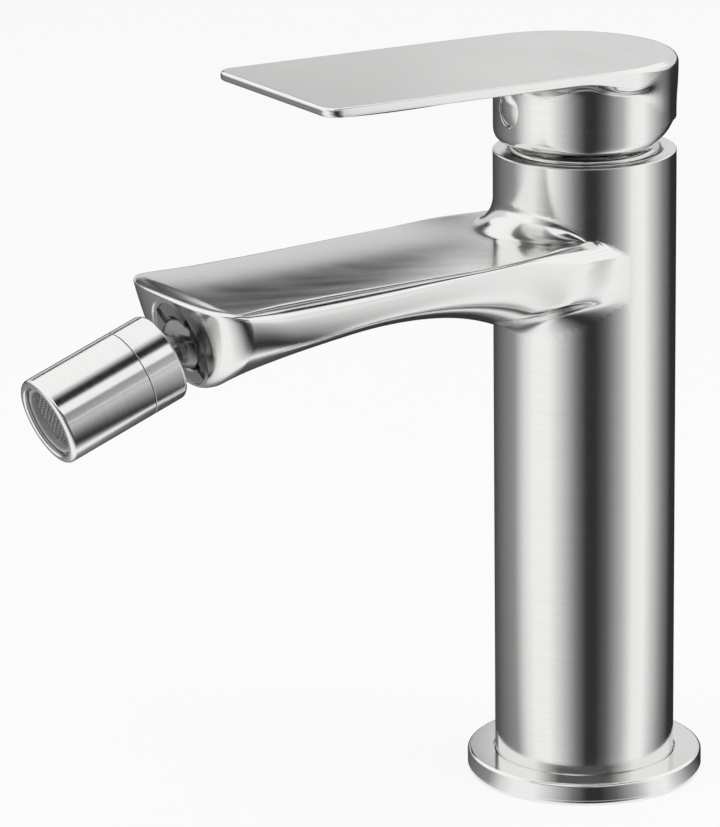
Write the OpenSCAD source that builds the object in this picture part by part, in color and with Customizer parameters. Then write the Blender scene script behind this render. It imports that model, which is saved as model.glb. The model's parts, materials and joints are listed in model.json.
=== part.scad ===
/* [Column] */
// Outside diameter of the column
column_d = 45; // [44:0.5:50]
// Height of the column's rim above the deck
rim_z = 160.7; // [155:0.1:175]
// Wall of the hollow column below the cartridge
column_wall = 2.6; // [2:0.1:3.2]
// Thickness of the web under the cartridge
web_h = 12; // [9:0.5:15]
// Height of the closing block in the column's foot
block_h = 14; // [12:0.5:18]

/* [Base] */
// Width of the base flange beyond the column
flange_w = 7; // [5.5:0.1:9]
// Height of the base flange
flange_h = 5.6; // [5:0.1:7]
// Width of the deck seal ring
gasket_w = 3; // [2:0.1:3.5]
// Height of the deck seal ring
gasket_h = 1.6; // [1:0.1:2.5]

/* [Inlets] */
// Distance of each inlet from the middle plane
inlet_x = 8.5; // [8.5:0.1:9]
// Distance of both inlets behind the middle
inlet_y = 4; // [3.5:0.1:4.5]
// Core diameter of the M10 x 1 hose threads
hose_thread_d = 8.92; // [8.8:0.01:9]
// Depth of the hose threads
hose_thread_l = 9; // [8:0.5:9.5]
// Core diameter of the M8 fixing thread
stud_thread_d = 6.65; // [6.4:0.05:6.8]
// Outside diameter of the two rising tubes
tube_d = 8; // [7:0.1:8.4]
// Wall of the two rising tubes
tube_wall = 1; // [0.8:0.1:1.2]

/* [Spout] */
// Distance from the column's axis to the middle of the spout's end face
spout_reach = 114.8; // [106:0.1:126]
// Width of the spout's flat top
spout_w = 49; // [47:0.5:52]
// Drop of the spout's top below the rim, at the column
spout_drop = 17.7; // [16.5:0.1:19]
// Fall of the spout's top towards its end, in degrees
spout_fall = 0.9; // [0.5:0.1:1]
// Wall over the ball socket at the spout's end
end_wall = 1.1; // [1:0.1:2]
// Radius of the arch under the spout
arch_r = 93.5; // [88:0.5:96]
// Thickness of the spout over the crown of the arch
arch_h = 14.5; // [13:0.1:15]
// Diameter of the drilled ends of the waterway in the spout
waterway_d = 8; // [6:0.1:8.4]
// Width of the hollow in the spout
hollow_w = 30; // [24:0.5:32]
// Height of the hollow in the spout
hollow_h = 6.6; // [5:0.1:7]

/* [Nozzle] */
// Downward pitch of the ball socket, in degrees
socket_pitch = 16; // [14:0.5:18]
// Downward pitch of the nozzle as it hangs, in degrees
nozzle_pitch = 20; // [16:0.5:24]
// Diameter of the ball socket in the spout
socket_d = 21; // [20.6:0.1:21.2]
// Diameter of the swivel ball
ball_d = 14; // [13.4:0.1:14.2]
// Diameter of the ball's neck
neck_d = 9; // [8:0.1:9.2]
// Distance from the ball's middle to the nozzle's rear edge
neck_l = 8.6; // [8.4:0.1:10]
// Outside diameter of the nozzle
nozzle_d = 21.8; // [20:0.1:22]
// Length of the nozzle's rear collar
collar_l = 9.1; // [8:0.1:11]
// Length of the nozzle's front sleeve
sleeve_l = 23.7; // [22:0.1:28]
// Opening diameter at the nozzle's mouth
mouth_d = 17.8; // [17:0.1:18.2]

/* [Cartridge] */
// Outside diameter of the cartridge's housing
cartridge_d = 35; // [34:0.1:35.4]
// Depth of the cartridge's seat below the rim
seat_depth = 36.7; // [36:0.1:37.5]
// Height of the pivot pin below the rim
pivot_depth = 4.7; // [4.5:0.1:5]
// Distance from the pivot pin to the stem's ball end
finger_l = 11; // [10.8:0.1:11.2]
// Diameter of the pivot pin
pin_d = 3; // [2.5:0.1:3.2]
// Side of the square lever stem
stem_w = 8; // [7:0.1:8.2]
// Diameter of the turning neck
rotor_d = 23.2; // [22.6:0.1:23.6]
// Diameter of the moving ceramic disc
moving_disc_d = 23; // [21:0.1:23.4]

/* [Handle] */
// Outside diameter of the handle's skirt
skirt_d = 44.8; // [44:0.1:46]
// Gap between the rim and the handle's skirt at the front
skirt_gap = 2.7; // [2.5:0.1:3.2]
// Wall of the handle's skirt
skirt_wall = 2.6; // [2:0.1:3]
// Height of the blade's top above the rim, over the axis
blade_top = 24.6; // [24:0.1:27]
// Width of the blade
blade_w = 53; // [50:0.5:56]
// Length of the blade from the axis to its tip
blade_l = 88.5; // [80:0.5:95]
// Thickness of the blade
blade_t = 2.3; // [2:0.1:3]
// Rise of the blade towards its tip, in degrees
blade_rise = 0.8; // [0:0.1:2]
// Lift of the lever, in degrees
lift = 20; // [15:0.5:20.5]
// Diameter of the plug in the skirt
plug_d = 8; // [7:0.1:9]

/* [Hidden] */
$fn = 96;

// Clearances: a close seat, a running gap, a gap between sliding flat faces
seat_gap = 0.05;
run_gap = 0.3;
slide_gap = 0.05;
// Length of a cutter that goes right through, and its start outside the face it cuts
cut = 60;
over = 1;

column_r = column_d / 2;
cavity_r = column_r - column_wall;
flange_r = column_r + flange_w;
flange_edge = 0.8;
groove_edge = 1.4;
groove_r = flange_r - groove_edge - gasket_w;
seat_z = rim_z - seat_depth;
web_z = seat_z - web_h;
tube_r = tube_d / 2;
port_r = tube_r - tube_wall;
tube_foot = 4;
tube_head = 3;
seal_wall = 1;
seal_r = tube_r + seal_wall;
seal_h = 2;

// The cartridge, from its seat up
cartridge_r = cartridge_d / 2;
bore_gap = 0.4;
bore_r = cartridge_r + bore_gap;
thread_h = 1.2;
thread_r = bore_r + thread_h;
thread_relief = 0.4;
pivot_z = rim_z - pivot_depth;
finger_z = pivot_z - finger_l;
base_h = 6;
disc_h = 3.5;
disc_z = seat_z + base_h;
moving_z = disc_z + disc_h + slide_gap;
pocket_h = 1.8;
carrier_z = moving_z + disc_h;
carrier_h = 4;
carrier_edge = 0.4;
housing_top_h = 2.4;
housing_wall = 1.1;
housing_drop = 2.3;
housing_top_z = pivot_z - housing_drop;
housing_r = cartridge_r - housing_wall;
housing_port = 6;
nut_h = 4.6;
nut_bore = 0.8;
notch_w = 3;
notch_h = 2;
dome_z = housing_top_z + nut_h;
dome_rise = 2.4;
dome_wall = 1;
rotor_r = rotor_d / 2;
rotor_gap = 2;
rotor_flange_z = carrier_z + carrier_h + rotor_gap;
rotor_rise = 6;
rotor_top_z = pivot_z + rotor_rise;
pin_end = 1;
guide_wall = 1.1;
guide_w = stem_w + 2 * guide_wall;
guide_l = 13;
guide_roof = 0.5;
finger_r = 3;
finger_neck_r = 1.8;
finger_gap = 0.4;
finger_floor = 0.5;
stem_foot = 3;
travel = finger_l * lift * PI / 180;

// The spout points along -Y; ball, socket and nozzle lie on the middle plane
socket_r = socket_d / 2;
recess_w = 1.3;
recess_r = socket_r + recess_w;
recess_h = 0.6;
spout_top_z = rim_z - spout_drop;
nose_l = 1.5;
nose_fall = 9;
crease_l = spout_reach - nose_l;
crease_z = spout_top_z - crease_l * tan(spout_fall);
end_top_z = crease_z - nose_l * tan(nose_fall);
end_z = end_top_z - end_wall - recess_r * cos(socket_pitch);
arch_z = spout_top_z - arch_h;
arch_y = 66;
face_l = 3.5;
ball_y = -(spout_reach - face_l * cos(socket_pitch));
ball_z = end_z + face_l * sin(socket_pitch);
spout_half = spout_w / 2;
end_over = 6;
tip_l = spout_reach + end_over;
corner_r = 12;
root_l = 6;
root_in = 0.1;
lip_h = 2;
side_in = 5;
cheek = 1.5;
cheek_h = 3;
keel_in = 2.5;
chin = 2.2;
waterway_drop = 0.6;
waterway_z = (arch_z + spout_top_z) / 2 - waterway_drop;
waterway_r = waterway_d / 2;
waterway_wall = 6;
hollow_root = 3;
hollow_end = 21;
hollow_l = spout_reach - hollow_end - column_r - hollow_root;
ball_r = ball_d / 2;
throat_gap = 0.4;
throat_r = ball_r + throat_gap;
ball_seat_r = ball_r + run_gap;
ball_port_wall = 3;
ball_port_r = ball_r - ball_port_wall;
ring_h = 4.7;
ring_set = 0.2;
ring_low = face_l - recess_h - ring_set - ring_h;
ring_lip = 0.2;
ring_lip_h = 1;
slot_w = 2.6;
slot_h = 1.4;
slip_h = 4;
slip_back = 1.5;
slip_low = -ball_r - slip_back;
ball_seal_h = 2;
throat_low = slip_low - slide_gap - ball_seal_h;

// The nozzle, from its neck to its mouth
neck_r = neck_d / 2;
neck_wall = 2;
nozzle_r = nozzle_d / 2;
collar_z = neck_l;
collar_edge = 0.6;
collar_back = 3.4;
collar_wall = 2.4;
sleeve_z = collar_z + collar_l + 2 * seat_gap;
sleeve_lip = 1;
nozzle_end = sleeve_z + sleeve_l;
mouth_r = mouth_d / 2;
spigot_r = nozzle_r - collar_wall;
spigot_wall = 1.6;
spigot_bore_r = spigot_r - spigot_wall;
spigot_l = 5;
spigot_root = 4;
washer_h = 1.6;
washer_w = 2.5;
aerator_h = 11;
aerator_set = 1;
aerator_edge = 0.4;
aerator_z = nozzle_end - aerator_set - aerator_h;
aerator_wall = 1.3;
aerator_bore_r = mouth_r - aerator_wall;
shelf_w = 1;
shelf_h = 2;
straightener_h = 3;
jet_r = 0.9;
jet_pitch = 2.6;
mesh_h = 0.8;
mesh_set = 1.8;
mesh_pitch = 1.9;
mesh_bar = 0.7;
mesh_rim = 0.9;

// The handle, and the screw and plug in its skirt
skirt_r = skirt_d / 2;
skirt_z = rim_z + skirt_gap;
skirt_edge = 2;
skirt_bore_r = skirt_r - skirt_wall;
cavity_h = 14.5;
cavity_top_z = rim_z + cavity_h;
blade_z = rim_z + blade_top;
blade_r = blade_w / 2;
blade_over = 0.6;
blade_back = blade_r - skirt_r + blade_over;
back_bulge = 0.3;
tip_corner = 2;
flare_h = 11;
flare_in = 0.4;
flare_foot_r = skirt_r - blade_back - blade_over;
lift_cut = 5;
lift_start = 4;
boss_wall = 4;
boss_r = stem_w / 2 + boss_wall;
boss_gap = 6.3;
boss_z = rotor_top_z + boss_gap;
stem_hole = stem_w + 2 * seat_gap;
stem_in = 2;
stem_top_z = cavity_top_z + stem_in;
screw_r = 2.5;
screw_l = 6;
screw_up = 12.1;
screw_z = rim_z + screw_up;
key_r = 1.45;
key_h = 3;
plug_r = plug_d / 2;
plug_gap = 0.2;
plug_back = skirt_bore_r - plug_gap;
plug_set = 0.6;
plug_crown = 0.8;

// Turns a drawing in (distance from the axis, height) into a plate across the middle plane
module side_plate(w) {
    rotate([0, 0, -90]) rotate([90, 0, 0]) linear_extrude(height = w, center = true) children();
}

// Turns a drawing in (sideways, height) into a bar along the spout
module along_spout(l) {
    rotate([90, 0, 0]) linear_extrude(height = l) children();
}

// Places a part whose +Z runs out of the spout's end, at the middle of the ball
module at_ball(pitch) {
    translate([0, ball_y, ball_z]) rotate([90 + pitch, 0, 0]) children();
}

// A ring with its top outer edge rounded
module round_ring(ri, ro, h, edge) {
    rotate_extrude() {
        translate([ri, 0]) square([ro - ri, h - edge]);
        translate([ri, 0]) square([ro - ri - edge, h]);
        translate([ro - edge, h - edge]) circle(r = edge);
    }
}

module ring(ri, ro, h) {
    difference() {
        cylinder(r = ro, h = h);
        translate([0, 0, -over]) cylinder(r = ri, h = h + 2 * over);
    }
}

module at_inlets() {
    for (s = [-1, 1]) translate([s * inlet_x, inlet_y, 0]) children();
}

// A drawing that is the same on both sides, from the points of its right side
module both_sides(right) {
    left = [for (i = [len(right) - 1 : -1 : 0]) [-right[i][0], right[i][1]]];
    polygon(concat(right, left));
}

// Outline of the spout from above: straight sides, round corners at the end, drawn in at the column
module spout_plan() {
    root_half = sqrt(pow(column_r, 2) - pow(root_l, 2)) - root_in;
    both_sides([[root_half, 0], [root_half, -root_l], [spout_half, -column_r],
        [spout_half, corner_r - tip_l], [spout_half - corner_r, -tip_l]]);
    for (s = [-1, 1]) translate([s * (spout_half - corner_r), corner_r - tip_l]) circle(r = corner_r);
}

// The spout seen from its end: an upright lip, then sides that draw in towards the underside
module spout_section() {
    both_sides([[spout_half, end_top_z + cut], [spout_half, end_top_z - lip_h], [spout_half - side_in, end_z],
        [socket_r + cheek, end_z - socket_r + cheek_h], [socket_r - keel_in, end_z - socket_d]]);
}

// The spout from the side: a falling top that bends down to a short nose, over a long arch
module spout_side() {
    chin_z = end_z - socket_r - chin;
    difference() {
        polygon([[0, chin_z], [tip_l, chin_z], [tip_l, crease_z - (tip_l - crease_l) * tan(nose_fall)],
            [crease_l, crease_z], [0, spout_top_z]]);
        translate([arch_y, arch_z - arch_r]) circle(r = arch_r, $fn = 192);
    }
}

module mixer_body() {
    color("silver") difference() {
        union() {
            cylinder(r = column_r, h = rim_z);
            difference() {
                intersection() {
                    side_plate(2 * spout_w) spout_side();
                    translate([0, 0, end_z - cut]) linear_extrude(height = 2 * cut) spout_plan();
                    along_spout(spout_reach + cut) spout_section();
                }
                at_ball(socket_pitch) translate([-cut, -cut, face_l]) cube([2 * cut, 2 * cut, cut]);
            }
        }
        translate([0, 0, -over]) cylinder(r = cavity_r, h = web_z + over);
        translate([0, 0, seat_z]) cylinder(r = bore_r, h = cut);
        translate([0, 0, housing_top_z - thread_relief]) cylinder(r = thread_r, h = cut);
        at_inlets() {
            translate([0, 0, web_z - over]) cylinder(r = tube_r + seat_gap, h = tube_head + over);
            translate([0, 0, web_z]) cylinder(r = port_r, h = web_h + over);
        }
        at_ball(socket_pitch) {
            translate([0, 0, face_l - recess_h]) cylinder(r = recess_r, h = cut);
            translate([0, 0, ring_low]) cylinder(r = socket_r, h = cut);
            translate([0, 0, throat_low]) cylinder(r = throat_r, h = cut);
        }
        translate([0, -cartridge_r / 2, waterway_z]) rotate([90, 0, 0])
            cylinder(r = waterway_r, h = -ball_y - cartridge_r / 2 - waterway_wall);
        translate([-hollow_w / 2, hollow_end - spout_reach, waterway_z - hollow_h / 2])
            cube([hollow_w, hollow_l, hollow_h]);
    }
}

module base_flange() {
    color("silver") difference() {
        round_ring(column_r + 2 * seat_gap, flange_r, flange_h, flange_edge);
        translate([0, 0, -over])
            ring(groove_r - seat_gap, groove_r + gasket_w + seat_gap, gasket_h + over);
    }
}

module deck_seal() {
    color("dimgray") ring(groove_r, groove_r + gasket_w, gasket_h);
}

module foot_block() {
    color("goldenrod") difference() {
        cylinder(r = cavity_r - seat_gap, h = block_h);
        translate([0, 0, -over]) cylinder(r = stud_thread_d / 2, h = block_h + 2 * over);
        at_inlets() {
            translate([0, 0, -over]) cylinder(r = hose_thread_d / 2, h = hose_thread_l + over);
            cylinder(r = port_r, h = block_h + over);
            translate([0, 0, block_h - tube_foot]) cylinder(r = tube_r + seat_gap, h = tube_foot + over);
        }
    }
}

module rising_tube(s) {
    low = block_h - tube_foot;
    translate([s * inlet_x, inlet_y, low]) ring(port_r, tube_r, web_z + tube_head - low);
}

module hot_tube() {
    color("peru") rising_tube(-1);
}

module cold_tube() {
    color("peru") rising_tube(1);
}

module port_seals() {
    color("black") at_inlets() translate([0, 0, seat_z]) ring(port_r, seal_r, seal_h);
}

module cartridge_base() {
    color("whitesmoke") difference() {
        translate([0, 0, seat_z]) cylinder(r = cartridge_r, h = base_h);
        at_inlets() {
            translate([0, 0, seat_z - over]) cylinder(r = port_r, h = base_h + 2 * over);
            translate([0, 0, seat_z - over]) cylinder(r = seal_r + seat_gap, h = seal_h + over);
        }
    }
}

module fixed_disc() {
    color("white") difference() {
        translate([0, 0, disc_z]) cylinder(r = housing_r - 2 * seat_gap, h = disc_h);
        at_inlets() translate([0, 0, disc_z - over]) cylinder(r = port_r, h = disc_h + 2 * over);
        translate([0, -moving_disc_d / 4, disc_z - over]) cylinder(r = port_r, h = disc_h + 2 * over);
    }
}

module cartridge_housing() {
    color("gainsboro") difference() {
        translate([0, 0, disc_z]) cylinder(r = cartridge_r, h = housing_top_z - disc_z);
        translate([0, 0, disc_z - over])
            cylinder(r = housing_r, h = housing_top_z - housing_top_h - disc_z + over);
        cylinder(r = rotor_r + run_gap, h = rim_z);
        translate([-waterway_r, -cartridge_d, waterway_z - waterway_r])
            cube([waterway_d, cartridge_r + housing_port, waterway_d]);
    }
}

module cartridge_nut() {
    notches = 6;
    color("goldenrod") translate([0, 0, housing_top_z]) difference() {
        ring(rotor_r + nut_bore, thread_r - seat_gap, nut_h);
        for (i = [0 : notches - 1]) rotate([0, 0, i * 360 / notches])
            translate([rotor_r, -notch_w / 2, nut_h - notch_h]) cube([notch_w, notch_w, notch_h + over]);
    }
}

// A shallow domed ring over the nut, a little above the rim
module dome_cover() {
    edge_r = thread_r - seat_gap;
    skirt_h = rim_z - dome_z;
    dome_r = (pow(edge_r, 2) + pow(dome_rise, 2)) / (2 * dome_rise);
    color("silver") translate([0, 0, dome_z]) difference() {
        union() {
            cylinder(r = edge_r, h = skirt_h);
            intersection() {
                translate([0, 0, skirt_h + dome_rise - dome_r]) sphere(r = dome_r, $fn = 192);
                translate([0, 0, skirt_h]) cylinder(r = edge_r, h = dome_rise);
            }
        }
        translate([0, 0, -over]) cylinder(r = edge_r - dome_wall, h = skirt_h + over);
        cylinder(r = rotor_r + 2 * run_gap, h = cut);
    }
}

module rotor() {
    slot_front = (pivot_z - rotor_flange_z) * tan(lift) + stem_w / 2 / cos(lift) + run_gap;
    slot_back = (rotor_top_z - pivot_z) * tan(lift) + stem_w / 2 / cos(lift) + run_gap;
    guide_front = travel + guide_l / 2 + run_gap;
    guide_back = guide_l / 2 + run_gap;
    guide_h = finger_z + finger_r + guide_roof - rotor_flange_z;
    flange_top = housing_top_z - housing_top_h - slide_gap;
    color("whitesmoke") difference() {
        union() {
            translate([0, 0, rotor_flange_z])
                cylinder(r = housing_r - run_gap, h = flange_top - rotor_flange_z);
            translate([0, 0, flange_top]) cylinder(r = rotor_r, h = rotor_top_z - flange_top);
        }
        translate([-stem_w / 2 - run_gap, -slot_front, rotor_flange_z - over])
            cube([stem_w + 2 * run_gap, slot_front + slot_back, cut]);
        translate([-guide_w / 2 - run_gap, -guide_front, rotor_flange_z - over])
            cube([guide_w + 2 * run_gap, guide_front + guide_back, guide_h + over]);
        translate([-cut, 0, pivot_z]) rotate([0, 90, 0]) cylinder(r = pin_d / 2 + seat_gap / 2, h = 2 * cut);
    }
}

module pivot_pin() {
    l = 2 * (rotor_r - pin_end);
    color("silver") translate([-l / 2, 0, pivot_z]) rotate([0, 90, 0]) cylinder(r = pin_d / 2, h = l);
}

module moving_disc() {
    color("white") difference() {
        translate([0, 0, moving_z]) cylinder(r = moving_disc_d / 2, h = disc_h);
        translate([0, -moving_disc_d / 8, moving_z - over])
            cylinder(r = moving_disc_d / 5, h = pocket_h + over);
    }
}

module disc_carrier() {
    block_top = finger_z + finger_r;
    color("dimgray") difference() {
        union() {
            translate([0, 0, carrier_z]) cylinder(r = moving_disc_d / 2 + carrier_edge, h = carrier_h);
            translate([-guide_w / 2, -guide_l / 2, carrier_z])
                cube([guide_w, guide_l, block_top - carrier_z]);
        }
        translate([0, 0, finger_z - finger_r - finger_floor]) cylinder(r = finger_r + finger_gap, h = cut);
    }
}

module lever_stem() {
    block_low = finger_z + finger_r + stem_foot;
    color("silver") difference() {
        union() {
            translate([-stem_w / 2, -stem_w / 2, block_low]) cube([stem_w, stem_w, stem_top_z - block_low]);
            translate([0, 0, finger_z]) cylinder(r = finger_neck_r, h = block_low - finger_z + over);
            translate([0, 0, finger_z]) sphere(r = finger_r);
        }
        translate([-cut, 0, pivot_z]) rotate([0, 90, 0]) cylinder(r = pin_d / 2 + 2 * seat_gap, h = 2 * cut);
    }
}

// Outline of the blade from above: a round back over the skirt, straight sides, clipped tip corners
module blade_plan() {
    intersection() {
        union() {
            translate([0, -blade_back]) circle(r = blade_r + back_bulge);
            translate([-cut, -blade_l]) square([2 * cut, blade_l - blade_back - over]);
        }
        both_sides([[blade_r, cut], [blade_r, tip_corner - blade_l], [blade_r - tip_corner, -blade_l]]);
    }
}

// The skirt flares out to the blade's round back
module handle_flare() {
    intersection() {
        translate([0, -blade_back, blade_z - blade_t - flare_h])
            cylinder(r1 = flare_foot_r, r2 = blade_r - flare_in, h = flare_h);
        translate([-cut, -blade_back, 0]) cube([2 * cut, cut, blade_z - blade_t / 4]);
    }
}

module handle() {
    color("silver") difference() {
        union() {
            translate([0, 0, skirt_z]) rotate_extrude() {
                translate([0, skirt_edge]) square([skirt_r, blade_z - blade_t / 2 - skirt_z - skirt_edge]);
                square([skirt_r - skirt_edge, skirt_edge]);
                translate([skirt_r - skirt_edge, skirt_edge]) circle(r = skirt_edge);
            }
            handle_flare();
            translate([0, 0, blade_z]) rotate([-blade_rise, 0, 0]) translate([0, 0, -blade_t])
                linear_extrude(height = blade_t) blade_plan();
        }
        difference() {
            translate([0, 0, skirt_z - over]) cylinder(r = skirt_bore_r, h = cavity_top_z - skirt_z + over);
            translate([0, 0, boss_z]) cylinder(r = boss_r, h = cut);
        }
        // The skirt's back is cut clear for the lift
        translate([0, lift_start, skirt_z]) rotate([lift, 0, 0]) translate([-cut, -lift_cut, -cut])
            cube([2 * cut, cut, cut]);
        translate([-stem_hole / 2, -stem_hole / 2, boss_z - over])
            cube([stem_hole, stem_hole, stem_top_z + 2 * seat_gap - boss_z + over]);
        translate([0, 0, screw_z]) rotate([90, 0, 0]) cylinder(r = screw_r + seat_gap, h = cut);
        translate([0, over - plug_back, screw_z]) rotate([90, 0, 0]) cylinder(r = plug_r + seat_gap, h = cut);
    }
}

module grub_screw() {
    color("dimgray") translate([0, -stem_w / 2, screw_z]) rotate([90, 0, 0]) difference() {
        cylinder(r = screw_r, h = screw_l);
        translate([0, 0, screw_l - key_h]) cylinder(r = key_r, h = cut, $fn = 6);
    }
}

module handle_plug() {
    plug_l = skirt_r - plug_back - plug_set;
    crown_r = (pow(plug_r, 2) + pow(plug_crown, 2)) / (2 * plug_crown);
    color("silver") translate([0, -plug_back, screw_z]) rotate([90, 0, 0]) {
        cylinder(r = plug_r, h = plug_l);
        intersection() {
            translate([0, 0, plug_l + plug_crown - crown_r]) sphere(r = crown_r);
            cylinder(r = plug_r, h = plug_l + plug_crown);
        }
    }
}

module ball_seal() {
    color("black") at_ball(socket_pitch) translate([0, 0, throat_low])
        ring(ball_port_r, throat_r - seat_gap, ball_seal_h);
}

module slip_ring() {
    color("whitesmoke") at_ball(socket_pitch) difference() {
        translate([0, 0, slip_low]) ring(ball_port_r, throat_r - run_gap, slip_h);
        sphere(r = ball_seat_r);
    }
}

module retaining_ring() {
    slots = 4;
    color("silver") at_ball(socket_pitch) difference() {
        translate([0, 0, ring_low]) cylinder(r = socket_r - seat_gap, h = ring_h);
        sphere(r = ball_seat_r);
        translate([0, 0, ring_low + ring_h - ring_lip_h]) cylinder(r = ball_seat_r - ring_lip, h = cut);
        for (i = [0 : slots - 1]) rotate([0, 0, 45 + i * 360 / slots])
            translate([ball_seat_r - over, -slot_w / 2, ring_low + ring_h - slot_h])
                cube([socket_r, slot_w, cut]);
    }
}

module nozzle_ball() {
    color("silver") at_ball(nozzle_pitch) difference() {
        union() {
            sphere(r = ball_r);
            cylinder(r = neck_r, h = collar_z + collar_back);
        }
        translate([0, 0, -ball_d]) cylinder(r = neck_r - neck_wall, h = 3 * ball_d);
    }
}

module nozzle_collar() {
    bore = neck_r + seat_gap;
    color("silver") at_ball(nozzle_pitch) difference() {
        translate([0, 0, collar_z]) rotate_extrude() {
            translate([bore, collar_edge]) square([nozzle_r - bore, collar_l - collar_edge]);
            translate([bore, 0]) square([nozzle_r - bore - collar_edge, collar_l]);
            translate([nozzle_r - collar_edge, collar_edge]) circle(r = collar_edge);
        }
        translate([0, 0, collar_z + collar_back]) cylinder(r = spigot_r + seat_gap, h = cut);
    }
}

module nozzle_sleeve() {
    color("silver") at_ball(nozzle_pitch) difference() {
        union() {
            translate([0, 0, sleeve_z]) round_ring(spigot_bore_r - seat_gap, nozzle_r, sleeve_l, sleeve_lip);
            translate([0, 0, sleeve_z - spigot_l]) cylinder(r = spigot_r, h = spigot_l + spigot_root);
        }
        translate([0, 0, sleeve_z - spigot_l - over]) cylinder(r = spigot_bore_r, h = cut);
        translate([0, 0, aerator_z - washer_h]) cylinder(r = mouth_r, h = cut);
    }
}

module aerator_washer() {
    color("black") at_ball(nozzle_pitch) translate([0, 0, aerator_z - washer_h])
        ring(mouth_r - washer_w, mouth_r - seat_gap, washer_h);
}

module aerator_housing() {
    color("gainsboro") at_ball(nozzle_pitch) difference() {
        translate([0, 0, aerator_z])
            round_ring(aerator_bore_r - shelf_w, mouth_r - seat_gap, aerator_h, aerator_edge);
        translate([0, 0, aerator_z + shelf_h]) cylinder(r = aerator_bore_r, h = cut);
    }
}

// A plate with a jet hole in the middle and two circles of jets round it
module flow_straightener() {
    circles = 2;
    color("whitesmoke") at_ball(nozzle_pitch) translate([0, 0, aerator_z + shelf_h]) difference() {
        cylinder(r = aerator_bore_r - seat_gap, h = straightener_h);
        for (k = [0 : circles], i = [0 : max(1, 6 * k) - 1]) rotate([0, 0, i * 60 / max(1, k)])
            translate([k * jet_pitch, 0, -over]) cylinder(r = jet_r, h = straightener_h + 2 * over);
    }
}

// The mesh screen: crossed bars in a rim
module aerator_mesh() {
    r = aerator_bore_r - seat_gap;
    n = floor(r / mesh_pitch);
    color("gray") at_ball(nozzle_pitch) translate([0, 0, nozzle_end - aerator_set - mesh_set]) {
        ring(r - mesh_rim, r, mesh_h);
        intersection() {
            cylinder(r = r - mesh_rim / 2, h = mesh_h);
            for (i = [-n : n]) {
                translate([i * mesh_pitch - mesh_bar / 2, -r, 0]) cube([mesh_bar, 2 * r, mesh_h]);
                translate([-r, i * mesh_pitch - mesh_bar / 2, 0]) cube([2 * r, mesh_bar, mesh_h]);
            }
        }
    }
}

mixer_body();
base_flange();
deck_seal();
foot_block();
hot_tube();
cold_tube();
port_seals();
cartridge_base();
fixed_disc();
cartridge_housing();
cartridge_nut();
dome_cover();
rotor();
pivot_pin();
moving_disc();
disc_carrier();
lever_stem();
handle();
grub_screw();
handle_plug();
ball_seal();
slip_ring();
retaining_ring();
nozzle_ball();
nozzle_collar();
nozzle_sleeve();
aerator_washer();
flow_straightener();
aerator_housing();
aerator_mesh();
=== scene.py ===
import json
import math

import bpy
from mathutils import Matrix, Vector


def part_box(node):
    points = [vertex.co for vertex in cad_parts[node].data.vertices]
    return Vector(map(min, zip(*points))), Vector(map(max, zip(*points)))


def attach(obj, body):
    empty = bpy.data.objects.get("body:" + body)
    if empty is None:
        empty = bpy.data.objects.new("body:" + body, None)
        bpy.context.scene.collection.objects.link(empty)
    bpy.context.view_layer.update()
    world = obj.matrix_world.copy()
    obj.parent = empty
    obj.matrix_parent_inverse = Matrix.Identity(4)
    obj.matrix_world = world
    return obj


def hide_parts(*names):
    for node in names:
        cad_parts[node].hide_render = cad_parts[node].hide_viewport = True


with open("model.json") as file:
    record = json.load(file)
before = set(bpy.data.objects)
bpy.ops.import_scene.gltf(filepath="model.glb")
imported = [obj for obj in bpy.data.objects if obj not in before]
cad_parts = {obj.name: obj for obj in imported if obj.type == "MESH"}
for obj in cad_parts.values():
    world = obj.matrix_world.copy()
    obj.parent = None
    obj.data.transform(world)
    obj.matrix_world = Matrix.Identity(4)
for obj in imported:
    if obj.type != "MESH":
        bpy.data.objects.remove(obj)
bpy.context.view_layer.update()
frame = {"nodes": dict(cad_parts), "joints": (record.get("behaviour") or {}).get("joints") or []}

# The foot flange
# A turned brass ring that slides over the column's foot and hides the hole in the deck.
# Its face is brushed on the lathe and its rim is broken with a small round.
MM = 0.001


def round_edge(centre_r, centre_z, radius, start, end, steps=6):
    """Points of a rounded edge about a centre, from one angle to another, in degrees."""
    turns = [math.radians(start + (end - start) * k / steps) for k in range(steps + 1)]
    return [(centre_r + radius * math.cos(a), centre_z + radius * math.sin(a)) for a in turns]


def turned(name, profile, segments=128, hollow=True):
    """A lathe piece: one ring of vertices is extruded and scaled from profile point to profile point."""
    bpy.ops.object.select_all(action="DESELECT")
    radius, height = profile[0]
    bpy.ops.mesh.primitive_circle_add(vertices=segments, radius=radius, location=(0, 0, height))
    piece = bpy.context.object
    piece.name = piece.data.name = name
    bpy.ops.object.transform_apply(location=True, rotation=True, scale=True)
    bpy.ops.object.mode_set(mode="EDIT")
    bpy.ops.mesh.select_all(action="SELECT")
    if not hollow:
        bpy.ops.mesh.edge_face_add()
        bpy.ops.mesh.select_all(action="SELECT")
    for next_radius, next_height in profile[1:] + (profile[:1] if hollow else []):
        bpy.ops.mesh.extrude_region_move(TRANSFORM_OT_translate={"value": (0, 0, next_height - height)})
        scale = next_radius / radius
        bpy.ops.transform.resize(value=(scale, scale, 1), center_override=(0, 0, next_height))
        radius, height = next_radius, next_height
    bpy.ops.mesh.select_all(action="SELECT")
    bpy.ops.mesh.remove_doubles(threshold=0.001 * MM)
    bpy.ops.mesh.normals_make_consistent(inside=False)
    bpy.ops.object.mode_set(mode="OBJECT")
    return piece


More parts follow.
